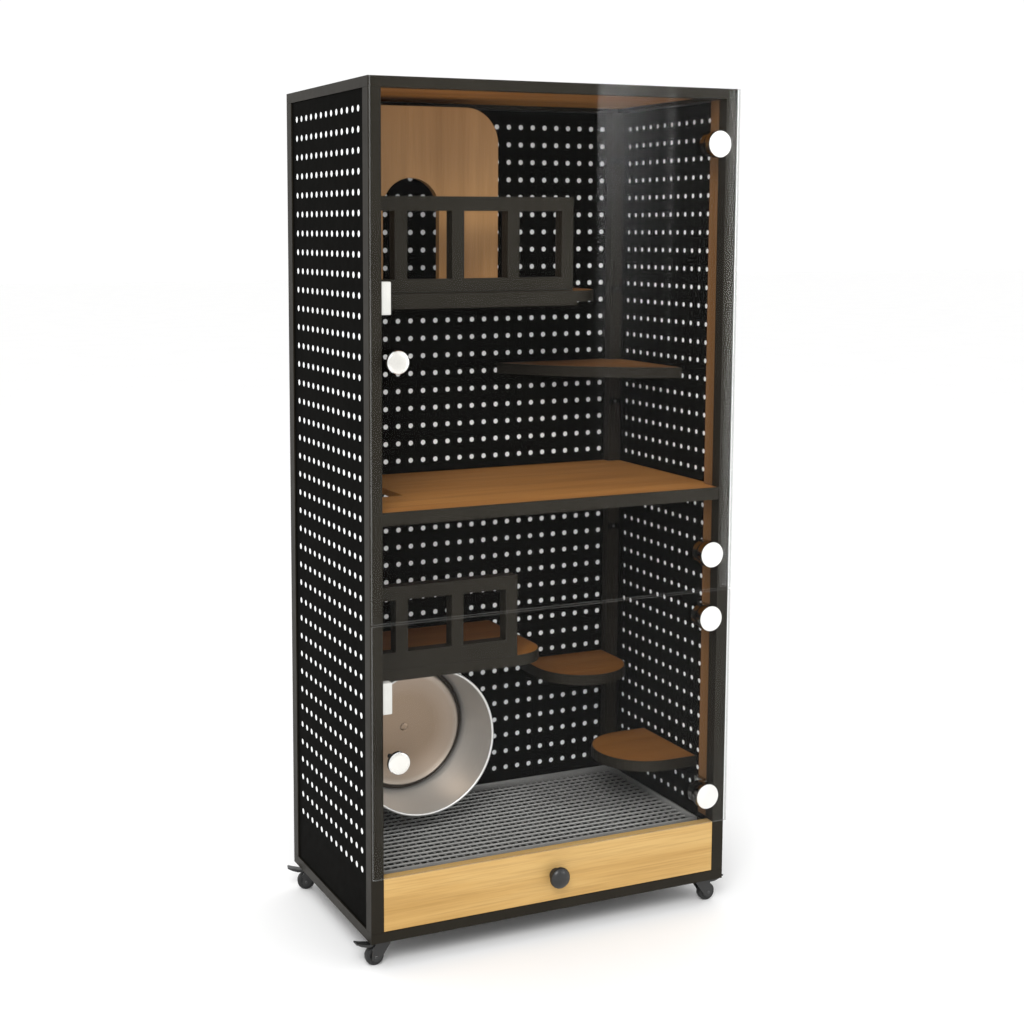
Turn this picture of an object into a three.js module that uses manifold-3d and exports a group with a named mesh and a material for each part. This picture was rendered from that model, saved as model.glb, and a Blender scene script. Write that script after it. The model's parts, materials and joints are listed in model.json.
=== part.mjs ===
// A hamster cage: a tall steel-framed cabinet on four braked casters, with drilled side and back
// panels, two overlaid clear doors, wooden floors and shelves, a running wheel, a lift-out wire
// mesh floor and a litter drawer.
//
// Units are millimetres and +Z is up. The cabinet is laid out from its front left bottom corner:
// x runs to the right, y runs to the back and z runs up from the underside of the bottom frame.
// The last lines move that corner so that the origin is the bottom centre of the whole object.
import * as THREE from 'three';
import { mergeVertices } from 'three/addons/utils/BufferGeometryUtils.js';
import Module from 'manifold-3d';

const wasm = await Module();
wasm.setup();

// Cabinet and its steel frame
const WIDTH = 600;
const DEPTH = 334;
const HEIGHT = 1232;
const TUBE = 19.5;
const TUBE_WALL = 1.5;
const REAR_POST_WIDTH = 30;
const RAIL_HEIGHT = 15;
const GAP = 0.3;

// Drilled panels, set between the posts
const PANEL_THICKNESS = 6;
const PANEL_INSET = 2;
const BACK_PANEL_THICKNESS = 4;

// Inner clear space between the faces of the side and back panels
const INNER_LEFT = PANEL_INSET + PANEL_THICKNESS + GAP;
const INNER_RIGHT = WIDTH - INNER_LEFT;
const INNER_BACK = DEPTH - BACK_PANEL_THICKNESS - GAP;
const POST_LEFT = TUBE + GAP;
const POST_RIGHT = WIDTH - TUBE - GAP;
const REAR_LEFT = REAR_POST_WIDTH + GAP;
const REAR_RIGHT = WIDTH - REAR_POST_WIDTH - GAP;
const POST_FRONT = TUBE + GAP;
const POST_BACK = DEPTH - TUBE - GAP;

// Wooden ceiling, middle floor and the battens that carry the hinges
const CEILING_THICKNESS = 8;
const MID_FLOOR_TOP = 628;
const MID_FLOOR_THICKNESS = 10;
const MID_BEAM_BOTTOM = 609.5;
const MID_BEAM_FRONT = 1;
const MID_BEAM_WALL = 3;
const CLIMB_HOLE = { left: 14, right: 107, front: 130, back: 230 };
const BATTEN_THICKNESS = 10.7;
const BATTEN_WIDTH = 22;

// Two balconies: a steel tray with a wooden inlay, and a railing with windows along its front
const TRAY_HEIGHT = 17;
const TRAY_WALL = 1.6;
const BALCONY_FRONT = 110;
const BALCONY_CORNER_RADIUS = 56;
const UPPER_BALCONY = { top: 930, right: 442, railingTop: 1072, bottomBar: 21, windows: 4 };
const FASCIA = { right: 387, front: 104, height: 22 };
const LOWER_BALCONY = { top: 368, right: 350, railingTop: 495, bottomBar: 26.5, windows: 3 };
const RAILING_THICKNESS = 19.5;
const RAILING_BAR = 20;
const RAILING_PITCH = 92;
const RAILING_FIRST_BAR = 86;
const RAILING_TOP_BAR = 21;

// Upright house front on the upper balcony, with an arched doorway
const HOUSE = { right: 306, front: 215, thickness: 12, top: 1210, cornerRadius: 55 };
const DOORWAY = { centre: 158, radius: 47, top: 1102 };

// Shelves: one triangular with a bowed front, two with a round end
const CORNER_SHELF = { top: 803, left: 363, front: 126, bowX: 46, bowY: 33, tipInset: 2.5 };
const ROUND_SHELF = { radius: 79, reach: 136 };
const MID_SHELF = { top: 293, right: 569.4 };
const LOW_SHELF = { top: 181, back: 223 };

// Running wheel: a spun steel bowl, open to the front, on an axle from the back panel
const WHEEL = { x: 156.7, z: 231.5, front: 160, back: 252, rim: 116, floor: 103, sheet: 1.6 };
const WHEEL_HUB = { radius: 10, length: 12, rise: 9 };
const WHEEL_POST_RADIUS = 14;
const WHEEL_BASE = { half: 35, thickness: 3 };
const AXLE_NUT = { radius: 8, height: 7 };
const AXLE_RADIUS = 4;
const AXLE_BORE = 4.3;
const WHEEL_SEGMENTS = 40;

// Ledge and wire mesh floor over the drawer
const LEDGE = { bottom: 80, thickness: 2, width: 30 };
const MESH_FLOOR = { left: 28, right: 572, front: 30, back: 302, sheet: 2, rimHeight: 12, rim: 3 };

// Litter drawer
const DRAWER = { bottom: 16, top: 95.5, faceFront: 0.5, faceThickness: 15, side: 20 };
const PAN = { side: 24, back: 312, bottom: 17, top: 70, sheet: 1.5 };
const DRAWER_KNOB = { radius: 16.5, neck: 9, depth: 23.4 };

// Clear doors, laid over the front of the frame
const DOOR = { left: 0.5, right: 599.5, front: -8, thickness: 5, split: 470, splitGap: 3 };
const DOOR_TOP = 1231;
const DOOR_BOTTOM = 98;
const HINGE = { x: 556, cap: 20, neck: 13, cup: 17.5, capFront: -22, cupBack: 9 };
const UPPER_HINGES = [1148.7, 528.6];
const LOWER_HINGES = [428.9, 146.6];
const HINGE_ARM = { height: 24, thickness: 7, flange: 8, clearance: 1.5 };
const KNOB = { x: 34, radius: 16.5, face: -27, head: 9, stem: 4, washer: 6.5, washerDepth: 3 };
const UPPER_KNOB_Z = 842;
const LOWER_KNOB_Z = 273;
const CATCH = { width: 15, height: 46, front: 2, depth: 14 };
const UPPER_CATCH_Z = 929;
const LOWER_CATCH_Z = 360;

// Casters
const CASTER_HEIGHT = 42;
const CASTER = { x: 28, front: 25, rear: 315, trail: 14, wheelRadius: 14, wheelWidth: 11, axle: 2.2 };
const CASTER_STEM = { radius: 4, top: 12 };
const GUSSET = { reach: 20, top: 14 };
const REAR_CASTER_TURN = 15;
const BRAKE_PIVOT = { x: 7, z: -9, pin: 1.5 };
const FORK = { inner: 7.6, outer: 9.4, disc: 12, discTop: -0.5, bridgeBottom: -4.5 };

const material = (color, roughness, metalness, extra = {}) =>
  new THREE.MeshStandardMaterial({ color, roughness, metalness, ...extra });
const BLACK_STEEL = material(0x262626, 0.5, 0.6);
const BLACK_BOARD = material(0x1a1a1a, 0.7, 0);
const WOOD = material(0x9a6b3f, 0.6, 0);
const PALE_WOOD = material(0xe0bd80, 0.6, 0);
const STEEL = material(0xb8b8b8, 0.3, 1);
const CHROME = material(0xd8d8d8, 0.1, 1);
const CLEAR = material(0xddeeee, 0.05, 0, { transparent: true, opacity: 0.2 });
const WHITE = material(0xf2f2f0, 0.4, 0);
const BLACK_PLASTIC = material(0x151515, 0.5, 0);
const BLACK_RUBBER = material(0x101010, 0.8, 0);

const cage = new THREE.Group();

// ---- helpers -------------------------------------------------------------------------------

// Keeps only the position of each vertex and makes the faces point out of the solid.
function closed(geometry) {
  geometry.deleteAttribute('normal');
  geometry.deleteAttribute('uv');
  const merged = mergeVertices(geometry, 1e-4);
  const position = merged.attributes.position;
  const index = merged.index.array;
  const a = new THREE.Vector3();
  const b = new THREE.Vector3();
  const c = new THREE.Vector3();
  let volume = 0;
  const kept = [];
  for (let i = 0; i < index.length; i += 3) {
    const [p, q, r] = [index[i], index[i + 1], index[i + 2]];
    if (p === q || q === r || r === p) continue;
    kept.push(p, q, r);
    a.fromBufferAttribute(position, p);
    b.fromBufferAttribute(position, q);
    c.fromBufferAttribute(position, r);
    volume += a.dot(b.cross(c));
  }
  merged.setIndex(volume < 0 ? kept.reverse() : kept);
  return merged;
}

function solid(geometry) {
  const mesh = closed(geometry.clone());
  return new wasm.Manifold(new wasm.Mesh({
    numProp: 3,
    vertProperties: new Float32Array(mesh.attributes.position.array),
    triVerts: new Uint32Array(mesh.index.array),
  }));
}

function geometryOf(manifold) {
  const mesh = manifold.getMesh();
  const geometry = new THREE.BufferGeometry();
  geometry.setAttribute('position', new THREE.BufferAttribute(mesh.vertProperties, 3));
  geometry.setIndex(new THREE.BufferAttribute(mesh.triVerts, 1));
  return geometry;
}

function cut(base, ...tools) {
  return geometryOf(tools.reduce((left, tool) => left.subtract(solid(tool)), solid(base)));
}

function join(base, ...others) {
  return geometryOf(others.reduce((left, other) => left.add(solid(other)), solid(base)));
}

function box(x0, x1, y0, y1, z0, z1) {
  const geometry = new THREE.BoxGeometry(x1 - x0, y1 - y0, z1 - z0);
  return geometry.translate((x0 + x1) / 2, (y0 + y1) / 2, (z0 + z1) / 2);
}

function pointsOf(outline) {
  return outline.map(([x, y]) => new THREE.Vector2(x, y));
}

function shapeOf(outline) {
  return outline instanceof THREE.Shape ? outline : new THREE.Shape(pointsOf(outline));
}

// A flat plate whose outline is drawn in x and y, from z0 up to z1.
function plate(outline, z0, z1, curveSegments = 12) {
  const options = { depth: z1 - z0, bevelEnabled: false, curveSegments };
  return new THREE.ExtrudeGeometry(shapeOf(outline), options).translate(0, 0, z0);
}

// An upright plate whose outline is drawn in x and z, from y0 back to y1.
function upright(outline, y0, y1, curveSegments = 12) {
  return plate(outline, -y1, -y0, curveSegments).rotateX(Math.PI / 2);
}

// A bar along x whose section is drawn in y and z.
function bar(section, x0, x1) {
  return plate(section, x0, x1).rotateX(Math.PI / 2).rotateZ(Math.PI / 2);
}

// A turned piece about a line along y; the profile is a list of [radius, y].
function turned(profile, x, z, segments) {
  return new THREE.LatheGeometry(pointsOf(profile), segments).translate(x, 0, z);
}

function pinAlongY(radius, x, y0, y1, z, segments = 16) {
  return new THREE.CylinderGeometry(radius, radius, y1 - y0, segments).translate(x, (y0 + y1) / 2, z);
}

function pinAlongZ(radius, x, y, z0, z1, segments = 16) {
  const geometry = new THREE.CylinderGeometry(radius, radius, z1 - z0, segments).rotateX(Math.PI / 2);
  return geometry.translate(x, y, (z0 + z1) / 2);
}

function add(name, geometry, finish) {
  const mesh = new THREE.Mesh(closed(geometry), finish);
  mesh.name = name;
  cage.add(mesh);
}

// ---- steel frame ---------------------------------------------------------------------------

function postTube(x0, y0, width) {
  const outer = box(x0, x0 + width, y0, y0 + TUBE, RAIL_HEIGHT + GAP, HEIGHT - RAIL_HEIGHT - GAP);
  const bore = box(
    x0 + TUBE_WALL, x0 + width - TUBE_WALL,
    y0 + TUBE_WALL, y0 + TUBE - TUBE_WALL, 0, HEIGHT,
  );
  return cut(outer, bore);
}

function ring(z0, z1) {
  const outer = box(0, WIDTH, 0, DEPTH, z0, z1);
  return cut(outer, box(TUBE, WIDTH - TUBE, TUBE, DEPTH - TUBE, z0 - 1, z1 + 1));
}

const CASTER_PLACES = [
  ['front_left', CASTER.x, CASTER.front, 180],
  ['front_right', WIDTH - CASTER.x, CASTER.front, 0],
  ['rear_left', CASTER.x, CASTER.rear, 180 - REAR_CASTER_TURN],
  ['rear_right', WIDTH - CASTER.x, CASTER.rear, REAR_CASTER_TURN],
];

function cornerGusset(x, y) {
  const { reach, top } = GUSSET;
  return box(
    Math.max(x - reach, TUBE / 2), Math.min(x + reach, WIDTH - TUBE / 2),
    Math.max(y - reach, TUBE / 2), Math.min(y + reach, DEPTH - TUBE / 2), 0, top,
  );
}

function addFrame() {
  add('post_front_left', postTube(0, 0, TUBE), BLACK_STEEL);
  add('post_front_right', postTube(WIDTH - TUBE, 0, TUBE), BLACK_STEEL);
  const rearWidth = REAR_POST_WIDTH;
  add('post_rear_left', postTube(0, DEPTH - TUBE, rearWidth), BLACK_STEEL);
  add('post_rear_right', postTube(WIDTH - rearWidth, DEPTH - TUBE, rearWidth), BLACK_STEEL);
  add('top_frame', ring(HEIGHT - RAIL_HEIGHT, HEIGHT), BLACK_STEEL);
  const gussets = CASTER_PLACES.map(([, x, y]) => cornerGusset(x, y));
  const sockets = CASTER_PLACES.map(([, x, y]) =>
    pinAlongZ(CASTER_STEM.radius + GAP, x, y, -1, CASTER_STEM.top + GAP));
  add('bottom_frame', cut(join(ring(0, RAIL_HEIGHT), ...gussets), ...sockets), BLACK_STEEL);
  const front = MID_BEAM_FRONT;
  const web = front + MID_BEAM_WALL;
  const seat = MID_FLOOR_TOP - MID_FLOOR_THICKNESS - GAP;
  const section = [
    [front, MID_BEAM_BOTTOM], [web, MID_BEAM_BOTTOM], [web, seat - MID_BEAM_WALL],
    [TUBE, seat - MID_BEAM_WALL], [TUBE, seat], [web, seat],
    [web, MID_FLOOR_TOP + GAP], [front, MID_FLOOR_TOP + GAP],
  ];
  add('mid_front_beam', bar(section, POST_LEFT, POST_RIGHT), BLACK_STEEL);
}

function addPanels() {
  const z0 = RAIL_HEIGHT + GAP;
  const z1 = HEIGHT - RAIL_HEIGHT - GAP;
  const left = PANEL_INSET;
  add('left_panel', box(left, left + PANEL_THICKNESS, POST_FRONT, POST_BACK, z0, z1), BLACK_BOARD);
  const right = WIDTH - PANEL_INSET;
  add('right_panel', box(right - PANEL_THICKNESS, right, POST_FRONT, POST_BACK, z0, z1), BLACK_BOARD);
  const back = DEPTH - BACK_PANEL_THICKNESS;
  add('back_panel', box(REAR_LEFT, REAR_RIGHT, back, DEPTH, z0, z1), BLACK_BOARD);
  const top = HEIGHT - GAP;
  const ceiling = box(POST_LEFT, POST_RIGHT, POST_FRONT, POST_BACK, top - CEILING_THICKNESS, top);
  add('ceiling_board', ceiling, WOOD);
}

// ---- wooden floor and battens --------------------------------------------------------------

function addMidFloor() {
  const battenBack = POST_FRONT + BATTEN_WIDTH + GAP;
  const front = MID_BEAM_FRONT + MID_BEAM_WALL + GAP;
  const outline = shapeOf([
    [POST_LEFT, front], [POST_RIGHT, front], [POST_RIGHT, battenBack], [INNER_RIGHT, battenBack],
    [INNER_RIGHT, POST_BACK], [REAR_RIGHT, POST_BACK], [REAR_RIGHT, INNER_BACK],
    [REAR_LEFT, INNER_BACK], [REAR_LEFT, POST_BACK], [INNER_LEFT, POST_BACK],
    [INNER_LEFT, POST_FRONT], [POST_LEFT, POST_FRONT],
  ]);
  const { left, right, front: holeFront, back } = CLIMB_HOLE;
  const hole = [[left, holeFront], [left, back], [right, back], [right, holeFront]];
  outline.holes.push(new THREE.Path(pointsOf(hole)));
  add('mid_floor_board', plate(outline, MID_FLOOR_TOP - MID_FLOOR_THICKNESS, MID_FLOOR_TOP), WOOD);
}

function addBattens() {
  const x0 = INNER_RIGHT - BATTEN_THICKNESS;
  const y1 = POST_FRONT + BATTEN_WIDTH;
  const lowerTop = MID_FLOOR_TOP - GAP;
  add('hinge_batten_lower', box(x0, INNER_RIGHT, POST_FRONT, y1, DOOR_BOTTOM, lowerTop), WOOD);
  const upperTop = HEIGHT - RAIL_HEIGHT - GAP;
  add('hinge_batten_upper', box(x0, INNER_RIGHT, POST_FRONT, y1, MID_FLOOR_TOP + GAP, upperTop), WOOD);
}

// ---- balconies and shelves -----------------------------------------------------------------

// A steel tray and the wooden board let into it. makeOutline(inset) draws both.
function addTrayAndBoard(name, top, makeOutline, curveSegments, fascia) {
  const bottom = top - TRAY_HEIGHT;
  const plain = plate(makeOutline(0), bottom, top, curveSegments);
  const tray = fascia ? join(plain, fascia) : plain;
  const recess = plate(makeOutline(TRAY_WALL), bottom + TRAY_WALL, top + 1, curveSegments);
  add(`${name}_tray`, cut(tray, recess), BLACK_STEEL);
  const board = plate(makeOutline(TRAY_WALL + GAP), bottom + TRAY_WALL + GAP, top, curveSegments);
  add(`${name}_board`, board, WOOD);
}

function balconyOutline(right) {
  return (inset) => {
    const front = BALCONY_FRONT + inset;
    const radius = BALCONY_CORNER_RADIUS - inset;
    const side = right - inset;
    const back = INNER_BACK - inset;
    const wall = INNER_LEFT + inset;
    const shape = new THREE.Shape();
    shape.moveTo(wall, front);
    shape.lineTo(side - radius, front);
    shape.absarc(side - radius, front + radius, radius, -Math.PI / 2, 0, false);
    shape.lineTo(side, back);
    shape.lineTo(REAR_LEFT + inset, back);
    shape.lineTo(REAR_LEFT + inset, POST_BACK - inset);
    shape.lineTo(wall, POST_BACK - inset);
    shape.closePath();
    return shape;
  };
}

function railing({ top, railingTop, bottomBar, windows }) {
  const right = RAILING_FIRST_BAR + RAILING_BAR + (windows - 1) * RAILING_PITCH;
  const y0 = BALCONY_FRONT;
  const y1 = BALCONY_FRONT + RAILING_THICKNESS;
  const openings = [];
  for (let i = 0; i < windows; i += 1) {
    const x1 = RAILING_FIRST_BAR + i * RAILING_PITCH;
    const x0 = i === 0 ? INNER_LEFT + RAILING_BAR : x1 - RAILING_PITCH + RAILING_BAR;
    openings.push(box(x0, x1, y0 - 1, y1 + 1, top + bottomBar, railingTop - RAILING_TOP_BAR));
  }
  return cut(box(INNER_LEFT, right, y0, y1, top + GAP, railingTop), ...openings);
}

function addBalconies() {
  const { top } = UPPER_BALCONY;
  const fasciaBack = BALCONY_FRONT + TRAY_WALL / 2;
  const fascia = box(INNER_LEFT, FASCIA.right, FASCIA.front, fasciaBack, top - FASCIA.height, top);
  addTrayAndBoard('upper_balcony', top, balconyOutline(UPPER_BALCONY.right), 10, fascia);
  add('upper_railing', railing(UPPER_BALCONY), BLACK_STEEL);
  addTrayAndBoard('lower_balcony', LOWER_BALCONY.top, balconyOutline(LOWER_BALCONY.right), 10);
  add('lower_railing', railing(LOWER_BALCONY), BLACK_STEEL);
}

function addHouseFront() {
  const bottom = UPPER_BALCONY.top + GAP;
  const { right, top, cornerRadius, front, thickness } = HOUSE;
  const { centre, radius } = DOORWAY;
  const spring = DOORWAY.top - radius;
  const shape = new THREE.Shape();
  shape.moveTo(INNER_LEFT, bottom);
  shape.lineTo(centre - radius, bottom);
  shape.lineTo(centre - radius, spring);
  shape.absarc(centre, spring, radius, Math.PI, 0, true);
  shape.lineTo(centre + radius, bottom);
  shape.lineTo(right, bottom);
  shape.lineTo(right, top - cornerRadius);
  shape.absarc(right - cornerRadius, top - cornerRadius, cornerRadius, 0, Math.PI / 2, false);
  shape.lineTo(INNER_LEFT, top);
  shape.closePath();
  add('house_front_board', upright(shape, front, front + thickness, 12), WOOD);
}

// The slanted front meets the walls at sharp tips, which move in further than the other sides.
function cornerShelfOutline(inset) {
  const { left, front, bowX, bowY, tipInset } = CORNER_SHELF;
  const x0 = left + inset * tipInset;
  const x1 = INNER_RIGHT - inset;
  const y0 = front + inset * tipInset;
  const y1 = INNER_BACK - inset;
  const shape = new THREE.Shape();
  shape.moveTo(x1, y0);
  shape.lineTo(x1, POST_BACK - inset);
  shape.lineTo(REAR_RIGHT - inset, POST_BACK - inset);
  shape.lineTo(REAR_RIGHT - inset, y1);
  shape.lineTo(x0, y1);
  shape.quadraticCurveTo((x0 + x1) / 2 - bowX, (y0 + y1) / 2 - bowY, x1, y0);
  return shape;
}

// Half a disc on a short rectangle, drawn with its flat side on y = 0 and its round end at -y.
function roundShelfOutline(inset, place) {
  const radius = ROUND_SHELF.radius - inset;
  const centre = ROUND_SHELF.radius - ROUND_SHELF.reach;
  const steps = 18;
  const points = [[radius, -inset], [-radius, -inset]];
  for (let i = 0; i <= steps; i += 1) {
    const angle = Math.PI + (i / steps) * Math.PI;
    points.push([radius * Math.cos(angle), centre + radius * Math.sin(angle)]);
  }
  return shapeOf(points.map(place));
}

function addShelves() {
  addTrayAndBoard('corner_shelf', CORNER_SHELF.top, cornerShelfOutline, 10);
  const midCentre = MID_SHELF.right - ROUND_SHELF.radius;
  const onBack = ([x, y]) => [midCentre + x, INNER_BACK + y];
  addTrayAndBoard('mid_shelf', MID_SHELF.top, (inset) => roundShelfOutline(inset, onBack));
  const lowCentre = LOW_SHELF.back - ROUND_SHELF.radius;
  const onRight = ([x, y]) => [INNER_RIGHT + y, lowCentre - x];
  addTrayAndBoard('low_shelf', LOW_SHELF.top, (inset) => roundShelfOutline(inset, onRight));
}

// ---- running wheel -------------------------------------------------------------------------

function addWheel() {
  const { x, z, front, back, rim, floor, sheet } = WHEEL;
  const hubRadius = WHEEL_HUB.radius;
  const plateFront = back - WHEEL_HUB.rise;
  const hubBack = plateFront + WHEEL_HUB.length;
  const profile = [
    [AXLE_BORE, plateFront], [floor - 8, plateFront + 1], [floor - 6, back - sheet],
    [floor - 1, back - sheet], [floor + 1, back - 7], [rim - sheet, front + 2],
    [rim - sheet, front - 1], [rim, front - 2], [rim + 2, front - 1], [rim + 2, front + 2],
    [rim, front + 2.6], [floor + 2.6, back - 6], [floor, back], [floor - 7.2, back],
    [floor - 9.2, plateFront + 1 + sheet], [hubRadius, plateFront + sheet],
    [hubRadius, hubBack], [AXLE_BORE, hubBack], [AXLE_BORE, plateFront],
  ];
  add('running_wheel', turned(profile, x, z, WHEEL_SEGMENTS), STEEL);
  const nutRadius = AXLE_NUT.radius;
  const nutBack = plateFront - 1;
  const nutFront = nutBack - AXLE_NUT.height;
  const postFront = hubBack + 1;
  const postBack = INNER_BACK - 1;
  const shaft = turned([
    [0, nutFront], [nutRadius, nutFront], [nutRadius, nutBack], [AXLE_RADIUS, nutBack],
    [AXLE_RADIUS, postFront], [WHEEL_POST_RADIUS, postFront], [WHEEL_POST_RADIUS, postBack],
    [0, postBack],
  ], x, z, 16);
  const { half, thickness } = WHEEL_BASE;
  const base = box(x - half, x + half, INNER_BACK - thickness, INNER_BACK, z - half, z + half);
  add('wheel_bracket', join(shaft, base), STEEL);
}

// ---- mesh floor and drawer -----------------------------------------------------------------

function addMeshFloor() {
  const { bottom, thickness, width } = LEDGE;
  const outline = shapeOf([
    [INNER_LEFT, POST_FRONT], [INNER_RIGHT, POST_FRONT], [INNER_RIGHT, POST_BACK],
    [REAR_RIGHT, POST_BACK], [REAR_RIGHT, INNER_BACK], [REAR_LEFT, INNER_BACK],
    [REAR_LEFT, POST_BACK], [INNER_LEFT, POST_BACK],
  ]);
  const x0 = INNER_LEFT + width;
  const x1 = INNER_RIGHT - width;
  const y0 = POST_FRONT + width;
  const y1 = INNER_BACK - width;
  const opening = [[x0, y0], [x0, y1], [x1, y1], [x1, y0]];
  outline.holes.push(new THREE.Path(pointsOf(opening)));
  add('mesh_ledge', plate(outline, bottom, bottom + thickness), BLACK_STEEL);
  const { left, right, front, back, sheet, rimHeight, rim } = MESH_FLOOR;
  const z0 = bottom + thickness + GAP;
  const tray = box(left, right, front, back, z0, z0 + rimHeight);
  const recess = box(left + rim, right - rim, front + rim, back - rim, z0 + sheet, z0 + rimHeight + 1);
  add('mesh_floor', cut(tray, recess), STEEL);
}

function addDrawer() {
  const { bottom, top, faceFront, faceThickness, side } = DRAWER;
  const faceBack = faceFront + faceThickness;
  add('drawer_front', box(side, WIDTH - side, faceFront, faceBack, bottom, top), PALE_WOOD);
  const { sheet } = PAN;
  const panFront = faceBack + GAP;
  const outer = box(PAN.side, WIDTH - PAN.side, panFront, PAN.back, PAN.bottom, PAN.top);
  const inner = box(
    PAN.side + sheet, WIDTH - PAN.side - sheet,
    panFront + sheet, PAN.back - sheet, PAN.bottom + sheet, PAN.top + 1,
  );
  add('drawer_pan', cut(outer, inner), BLACK_STEEL);
  const { radius: r, neck, depth } = DRAWER_KNOB;
  const seat = faceFront - GAP;
  const profile = [
    [0, seat], [r * 0.55, seat], [r * 0.5, seat - neck], [r, seat - neck - 4], [r, seat - neck - 8],
    [r * 0.8, seat - depth + 2.4], [r * 0.4, seat - depth + 0.4], [0, seat - depth],
  ];
  add('drawer_knob', turned(profile, WIDTH / 2, (bottom + top) / 2, 20), BLACK_PLASTIC);
}

// ---- doors ---------------------------------------------------------------------------------

function hingeCup(z) {
  const { x, cap, neck, cup, capFront, cupBack } = HINGE;
  const glassFront = DOOR.front - GAP;
  const glassBack = DOOR.front + DOOR.thickness + GAP;
  return turned([
    [0, capFront], [cap - 1, capFront], [cap, capFront + 1], [cap, glassFront],
    [neck, glassFront], [neck, glassBack], [cup, glassBack], [cup, cupBack], [0, cupBack],
  ], x, z, 24);
}

function doorKnob(z) {
  const { x, radius, face, head, stem, washer, washerDepth } = KNOB;
  const headBack = face + head;
  const glassBack = DOOR.front + DOOR.thickness + GAP;
  return turned([
    [0, face], [radius * 0.7, face + 0.4], [radius - 0.8, face + 1.2], [radius, face + 2.4],
    [radius, headBack - 1], [radius - 1, headBack], [stem, headBack], [stem, glassBack],
    [washer, glassBack], [washer, glassBack + washerDepth], [0, glassBack + washerDepth],
  ], x, z, 20);
}

// An arm from the batten to just behind the hinge cup, drawn in x and y.
function hingeArm(z) {
  const { height, thickness, flange, clearance } = HINGE_ARM;
  const battenFace = INNER_RIGHT - BATTEN_THICKNESS - GAP;
  const elbow = battenFace - 5;
  const tip = HINGE.x + 1;
  const front = HINGE.cupBack + clearance;
  const flangeFront = POST_FRONT + 1;
  const flangeBack = POST_FRONT + BATTEN_WIDTH;
  const outline = [
    [tip, front], [elbow, front], [elbow, flangeFront], [battenFace, flangeFront],
    [battenFace, flangeBack], [battenFace - flange, flangeBack],
    [battenFace - flange, front + thickness], [tip, front + thickness],
  ];
  return plate(outline, z - height / 2, z + height / 2);
}

function addDoor(name, z0, z1, hinges, knobZ, catchZ) {
  const { left, right, front, thickness } = DOOR;
  const back = front + thickness;
  const holes = hinges.map((z) => pinAlongY(HINGE.neck + GAP, HINGE.x, front - 1, back + 1, z, 20));
  holes.push(pinAlongY(KNOB.stem + GAP, KNOB.x, front - 1, back + 1, knobZ, 12));
  add(`${name}_door_panel`, cut(box(left, right, front, back, z0, z1), ...holes), CLEAR);
  hinges.forEach((z, i) => {
    const level = i === 0 ? 'top' : 'bottom';
    add(`${name}_hinge_cup_${level}`, hingeCup(z), CHROME);
    add(`${name}_hinge_arm_${level}`, hingeArm(z), CHROME);
  });
  add(`${name}_door_knob`, doorKnob(knobZ), CHROME);
  const { width, height, front: catchFront, depth } = CATCH;
  const z2 = catchZ - height / 2;
  const block = box(POST_LEFT, POST_LEFT + width, catchFront, catchFront + depth, z2, z2 + height);
  add(`${name}_magnet_catch`, block, WHITE);
}

// ---- casters -------------------------------------------------------------------------------

// One caster whose swivel stands at (x, y) and whose wheel trails at an angle in degrees. It is
// drawn with the swivel on the z axis and the wheel trailing along +x, then turned into place.
function addCaster(place, x, y, angle) {
  const { trail, wheelRadius, wheelWidth, axle } = CASTER;
  const { inner, outer, disc, discTop, bridgeBottom } = FORK;
  const wheelZ = wheelRadius - CASTER_HEIGHT;
  const placed = (geometry) => geometry.rotateZ(THREE.MathUtils.degToRad(angle)).translate(x, y, 0);
  const cheek = [
    [-10, bridgeBottom + 1], [-8, -10], [7, wheelZ - 4], [11, wheelZ - 7], [17, wheelZ - 7],
    [21, wheelZ - 3], [20, -17], [12, bridgeBottom + 1],
  ];
  const fork = join(
    pinAlongZ(disc, 0, 0, bridgeBottom + 1, discTop, 20),
    pinAlongZ(CASTER_STEM.radius, 0, 0, discTop - 1, CASTER_STEM.top, 12),
    box(-9, 11, -outer, outer, bridgeBottom, bridgeBottom + 2),
    upright(cheek, -outer, -inner),
    upright(cheek, inner, outer),
    pinAlongY(axle, trail, -outer, outer, wheelZ, 12),
    pinAlongY(BRAKE_PIVOT.pin, BRAKE_PIVOT.x, -outer, outer, BRAKE_PIVOT.z, 8),
  );
  add(`caster_${place}_fork`, placed(fork), BLACK_STEEL);
  const half = wheelWidth / 2;
  const bore = axle + GAP;
  const wheel = turned([
    [bore, -half], [wheelRadius - 2, -half], [wheelRadius, 2 - half], [wheelRadius, half - 2],
    [wheelRadius - 2, half], [bore, half], [bore, -half],
  ], trail, wheelZ, 24);
  add(`caster_${place}_wheel`, placed(wheel), BLACK_RUBBER);
  const outline = [
    [4.5, -5.8], [9.5, -5.8], [16, -8.4], [24, -8.4], [34, -6.4], [43, -4], [44, -5.2],
    [36, -9.4], [28, -12], [20, -12.6], [9.5, -12], [4.5, -12], [3, -9],
  ];
  const tread = inner - 1;
  const pivotHole = pinAlongY(
    BRAKE_PIVOT.pin + GAP, BRAKE_PIVOT.x, -tread - 1, tread + 1, BRAKE_PIVOT.z, 8,
  );
  const lever = cut(upright(outline, -tread, tread), pivotHole);
  add(`caster_${place}_brake_lever`, placed(lever), BLACK_PLASTIC);
}

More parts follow.
